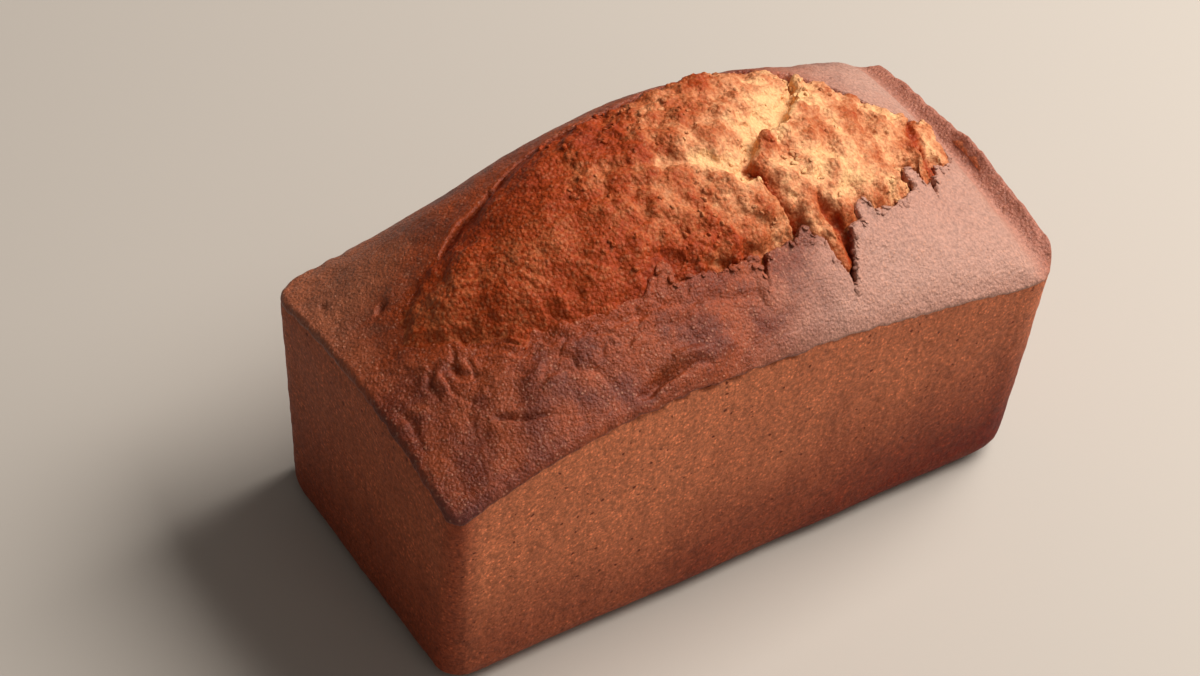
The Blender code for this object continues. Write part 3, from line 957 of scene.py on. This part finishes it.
def tin_side():
    """Crust baked against a tin: finely pored, tan high on the near side, red-brown at base and far end."""
    material, tree, shader = new_material("tin_side_crust")
    where = add(tree, "ShaderNodeTexCoord", output="Object")
    place = add(tree, "ShaderNodeSeparateXYZ", {0: where})
    up = add(tree, "ShaderNodeMapRange", {0: place.node.outputs["Z"], 1: 4 * MM, 2: 60 * MM}, **SMOOTH)
    far = add(tree, "ShaderNodeMapRange", {0: place, 1: -60 * MM, 2: 85 * MM, 3: 0.45, 4: -0.22})
    patches = add(
        tree, "ShaderNodeTexNoise", {0: where, "Scale": 1 / (24 * MM), "Detail": 6.0, "Roughness": 0.65},
    )
    patch = add(tree, "ShaderNodeMath", {0: patches, 1: 0.8}, operation="MULTIPLY")
    tan = add(tree, "ShaderNodeMath", {0: up, 1: far}, operation="ADD")
    tan = add(tree, "ShaderNodeMath", {0: tan, 1: patch}, operation="ADD")
    tan = add(tree, "ShaderNodeMapRange", {0: tan, 1: 0.26, 2: 1.65})
    base = add(tree, "ShaderNodeMix", {0: tan, 6: colour("6a1502"), 7: colour("d4794f")}, **COLOUR_MIX)

    # Upright streaks left by the tin, about 3 mm apart; a redder, darker near end, partly its own colour and
    # partly painted shade, as that end faces away from the light; and a redder sharp near corner.
    tall = add(tree, "ShaderNodeVectorMath", {0: where, 1: (1.0, 1.0, 0.08)}, operation="MULTIPLY")
    streaks = add(tree, "ShaderNodeTexNoise", {0: tall, "Scale": 1 / (3 * MM), "Detail": 3.0})
    streak = add(tree, "ShaderNodeMapRange", {0: streaks, 1: 0.4, 2: 0.7, 3: 0.0, 4: 0.16})
    end = add(tree, "ShaderNodeMapRange", {0: place, 1: -80 * MM, 2: -86 * MM, 3: 0.0, 4: 0.5})
    corner = add(tree, "ShaderNodeAttribute", output="Fac", attribute_name="corner")
    corner_share = add(tree, "ShaderNodeMath", {0: corner, 1: 0.6}, operation="MULTIPLY")
    for share, over in ((streak, "552012"), (end, "86280c"), (corner_share, "8a3216")):
        base = add(tree, "ShaderNodeMix", {0: share, 6: base, 7: colour(over)}, **COLOUR_MIX)

    # Grain, and granules of which a few are painted lighter and bluer as glints of light: finer than 0.5 mm
    # on a real loaf, drawn at 1.2 and 0.9 mm to show.
    look = {"Scale": 1 / (1.2 * MM), "Detail": 5.0, "Roughness": 0.8}
    fine, base = speckle(tree, where, base, look, 0.1, (0.66, 1.3))
    light = granules(tree, where, 0.9 * MM, (0.5, 0.9), (0.55, 0.2))[1]
    light = add(tree, "ShaderNodeMapRange", {0: light, 3: 0.94, 4: 1.6})
    speck = add(tree, "ShaderNodeVectorMath", {0: base, 1: (1.0, 1.05, 1.1)}, operation="MULTIPLY")
    base = add(tree, "ShaderNodeVectorMath", {0: speck, "Scale": light}, operation="SCALE")

    # Open pores 2.2 mm apart, each of its own width.
    swirl = add(tree, "ShaderNodeTexNoise", {0: where, "Scale": 1 / (1.5 * MM)}, output="Color")
    push = add(tree, "ShaderNodeVectorMath", {0: swirl, "Scale": 1.2 * MM}, operation="SCALE")
    pushed = add(tree, "ShaderNodeVectorMath", {0: where, 1: push}, operation="ADD")
    holes = add(tree, "ShaderNodeTexVoronoi", {0: pushed, "Scale": 1 / (2.2 * MM)})
    hole_size = add(tree, "ShaderNodeSeparateXYZ", {0: holes.node.outputs["Color"]})
    hole_edge = add(tree, "ShaderNodeMath", {0: hole_size, 1: 2.0}, operation="POWER")
    hole_edge = add(tree, "ShaderNodeMath", {0: hole_edge, 1: 0.22}, operation="MULTIPLY")
    pore = add(tree, "ShaderNodeMath", {0: hole_edge, 1: holes}, operation="SUBTRACT")
    pore = add(tree, "ShaderNodeMapRange", {0: pore, 1: -0.04, 2: 0.05})
    base = add(tree, "ShaderNodeMix", {0: pore, 6: base, 7: colour("70301a")}, **COLOUR_MIX)

    depth = add(tree, "ShaderNodeMath", {0: pore, 1: 0.4}, operation="MULTIPLY")
    heights = add(tree, "ShaderNodeMath", {0: fine, 1: depth}, operation="SUBTRACT")
    bump = add(tree, "ShaderNodeBump", {"Height": heights, "Strength": 1.0, "Distance": 0.5 * MM})
    feed(tree, shader, {"Base Color": base, "Normal": bump, "Roughness": 0.6, "Specular IOR Level": 0.18})
    return material


# The crumb's colours from freshly opened to baked dark, and the toasting at which each is reached.
FRESH_TONE = "dfac78"
CRUMB_TONES = [(0.12, "c6865c"), (0.30, "ab5c33"), (0.50, "953609"), (0.72, "862d0d"), (0.95, "64200e")]
TONE_STEP = 0.2


def open_crumb():
    """Torn butter crumb: yellow where it opened late, toasted orange-brown on its high lumps."""
    material, tree, shader = new_material("open_crumb")
    where = add(tree, "ShaderNodeTexCoord", output="Object")
    toast, peak, lumpy = [
        add(tree, "ShaderNodeAttribute", output="Fac", attribute_name=name) for name in CRUMB_NUMBERS
    ]

    # High lumps toast darker where the crumb opened wide, and bleach lighter where it's calm.
    browning = add(tree, "ShaderNodeMapRange", {0: lumpy, 1: 0.3, 2: 1.0, 3: -0.2, 4: 0.22})
    raised = add(tree, "ShaderNodeMath", {0: peak, 1: browning}, operation="MULTIPLY")
    grains = add(tree, "ShaderNodeTexNoise", {0: where, "Scale": 1 / (1.0 * MM), "Detail": 3.0})
    grain_share = add(tree, "ShaderNodeMapRange", {0: grains, 1: 0.3, 2: 0.7, 3: -0.1, 4: 0.1})
    toast = add(tree, "ShaderNodeMath", {0: toast, 1: raised}, operation="ADD")
    toast = add(tree, "ShaderNodeMath", {0: toast, 1: grain_share}, operation="ADD")
    base = colour(FRESH_TONE)
    for reached, tone in CRUMB_TONES:
        share = add(tree, "ShaderNodeMapRange", {0: toast, 1: reached - TONE_STEP, 2: reached})
        base = add(tree, "ShaderNodeMix", {0: share, 6: base, 7: colour(tone)}, **COLOUR_MIX)

    # Flecks and fine granules, some of them paler: about 0.4 mm on real crumb, drawn at 0.7 and 1 mm to show.
    look = {"Scale": 1 / (0.7 * MM), "Detail": 3.0, "Roughness": 0.6}
    flecks, base = speckle(tree, where, base, look, 0.14, (0.88, 1.15))
    away, light = granules(tree, where, 1.0 * MM, (0.4, 0.9), (0.6, 0.2))
    light = add(tree, "ShaderNodeMath", {0: light, 1: 0.18}, operation="MULTIPLY")
    base = add(tree, "ShaderNodeMix", {0: light, 6: base, 7: colour("dd9e74")}, **COLOUR_MIX)
    domes = add(tree, "ShaderNodeMath", {0: away, 1: -0.8}, operation="MULTIPLY")
    heights = add(tree, "ShaderNodeMath", {0: flecks, 1: domes}, operation="ADD")
    bump = add(tree, "ShaderNodeBump", {"Height": heights, "Strength": 0.75, "Distance": 0.5 * MM})
    feed(tree, shader, {"Base Color": base, "Normal": bump, "Roughness": 0.6, "Specular IOR Level": 0.18})
    return material


def pale_floor():
    """Plain matt studio floor."""
    material, tree, shader = new_material("pale_floor")
    feed(tree, shader, {"Base Color": colour("b5aea6"), "Roughness": 0.9})
    return material


# ---------------------------------------------------------------- floor, camera and light

CAMERA_AZIMUTH = -36.1
CAMERA_ELEVATION = 45.4
CAMERA_ROLL = 5.4
CAMERA_DISTANCE = 1.0
CAMERA_LENS = 120
CAMERA_SENSOR = 36
CAMERA_TARGET = Vector((-0.0118, 0.0109, 0.040))

# Each light: its name, azimuth, elevation, distance, size, power and colour. The lights face the target.
LIGHTS = [("window", 80, 50, 1.1, 0.8, 23, "fff9f2"), ("room_fill", -12, 35, 1.3, 0.9, 1.8, "fff3e8")]
LIGHT_TARGET = Vector((0, 0, 0.05))

WORLD_LEVEL = 0.12
FLOOR_HALF = 3.0


def view_direction(azimuth, elevation):
    """Unit vector from the loaf towards an azimuth (0 is the front, 90 the far end) and elevation."""
    a, e = math.radians(azimuth), math.radians(elevation)
    return Vector((math.sin(a) * math.cos(e), -math.cos(a) * math.cos(e), math.sin(e)))


def make_camera():
    """The camera, close to the loaf from above its front left."""
    camera = new_object("camera", bpy.data.cameras.new("camera"))
    camera.data.lens = CAMERA_LENS
    camera.data.sensor_width = CAMERA_SENSOR
    back = view_direction(CAMERA_AZIMUTH, CAMERA_ELEVATION)
    turn = back.to_track_quat("Z", "Y").to_matrix().to_4x4()
    roll = Matrix.Rotation(math.radians(CAMERA_ROLL), 4, "Z")
    camera.matrix_world = Matrix.Translation(CAMERA_TARGET + back * CAMERA_DISTANCE) @ turn @ roll
    bpy.context.scene.camera = camera


def make_light(name, azimuth, elevation, distance, size, power, hex_value):
    """A square soft light that faces the loaf."""
    light = bpy.data.lights.new(name, "AREA")
    light.size = size
    light.energy = power
    light.color = colour(hex_value)[:3]
    lamp = new_object(name, light)
    back = view_direction(azimuth, elevation)
    lamp.location = back * distance + LIGHT_TARGET
    lamp.rotation_euler = back.to_track_quat("Z", "Y").to_euler()


def make_world():
    """Weak, slightly warm light from all round."""
    world = bpy.data.worlds.new("soft_room")
    world.use_nodes = True
    background = world.node_tree.nodes["Background"]
    feed(world.node_tree, background, {"Color": colour("f6f1ea"), "Strength": WORLD_LEVEL})
    bpy.context.scene.world = world


def make_floor():
    """A flat square floor at the loaf's base."""
    mesh = bpy.data.meshes.new("floor")
    corners = [(a * FLOOR_HALF, b * FLOOR_HALF, 0) for a, b in ((-1, -1), (1, -1), (1, 1), (-1, 1))]
    mesh.from_pydata(corners, [], [(0, 1, 2, 3)])
    mesh.materials.append(pale_floor())
    floor = new_object("floor", mesh)


# ---------------------------------------------------------------- build

# Loose crumbs lie where a noise of this size is over a level, beyond a place along the loaf, and are less
# toasted than the crumb.
LOOSE_PATCH = 9 * MM
LOOSE_LEVEL = 0.05
LOOSE_FROM_X = -30 * MM
LOOSE_PALER = 0.08

# Flakes lie along the front of the tear beyond a place along the loaf, in a band just outside the tear.
FLAKES_FROM_X = -25 * MM
FLAKES_OUTSIDE = 0.4 * MM
FLAKES_HALF_BAND = 0.9 * MM

make_camera()
make_world()
for light in LIGHTS:
    make_light(*light)
make_floor()
bpy.context.scene.view_settings.view_transform = "Standard"

crumb_material = open_crumb()
crust_material = baked_crust()
crust = make_crust(crust_material)
sides = make_sides(tin_side())
crumb = make_crumb(crumb_material)
apply_tree(crumb, crumb_relief_tree(), {
    "Material": crumb_material, "Seed": 3, "Lump Size": 7 * MM, "Lump Height": 3.0 * MM,
    "Clump Size": 3.0 * MM, "Clump Height": 1.6 * MM, "Granule Size": 1.3 * MM, "Granule Height": 0.65 * MM,
    "Grain Size": 0.7 * MM, "Grain Height": 0.35 * MM, "Warp": 3 * MM,
})

loose = new_object("loose_crumbs", crumb.data.copy())
points = points_of(loose)
patches = soft_noise(LOOSE_PATCH, points[:, 0], points[:, 1], seed=61)
store(loose, "loose_here", stored(loose, "bare") * (patches > LOOSE_LEVEL) * (points[:, 0] > LOOSE_FROM_X))
store(loose, "toast", stored(loose, "toast") - LOOSE_PALER)
apply_tree(loose, scatter_tree("loose_crumbs", "loose_here"), {
    "Material": crumb_material, "Seed": 5, "Density": 0.6e5, "Smallest": 0.35 * MM, "Largest": 0.8 * MM,
    "Flatness": 0.7, "Roughness": 1.6 * MM,
})

flakes = new_object("crust_flakes", crust.data.copy())
points = points_of(flakes)
in_band = abs(stored(flakes, "inside_tear") + FLAKES_OUTSIDE) < FLAKES_HALF_BAND
store(flakes, "flake_here", in_band * (points[:, 1] < 0) * (points[:, 0] > FLAKES_FROM_X))
apply_tree(flakes, scatter_tree("crust_flakes", "flake_here"), {
    "Material": crust_material, "Seed": 8, "Density": 3.0e5, "Smallest": 0.4 * MM, "Largest": 1.1 * MM,
    "Flatness": 0.35, "Roughness": 1.0 * MM,
})

for piece in (crust, sides, crumb, loose, flakes):
    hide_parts("loaf")
    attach(piece, "root")
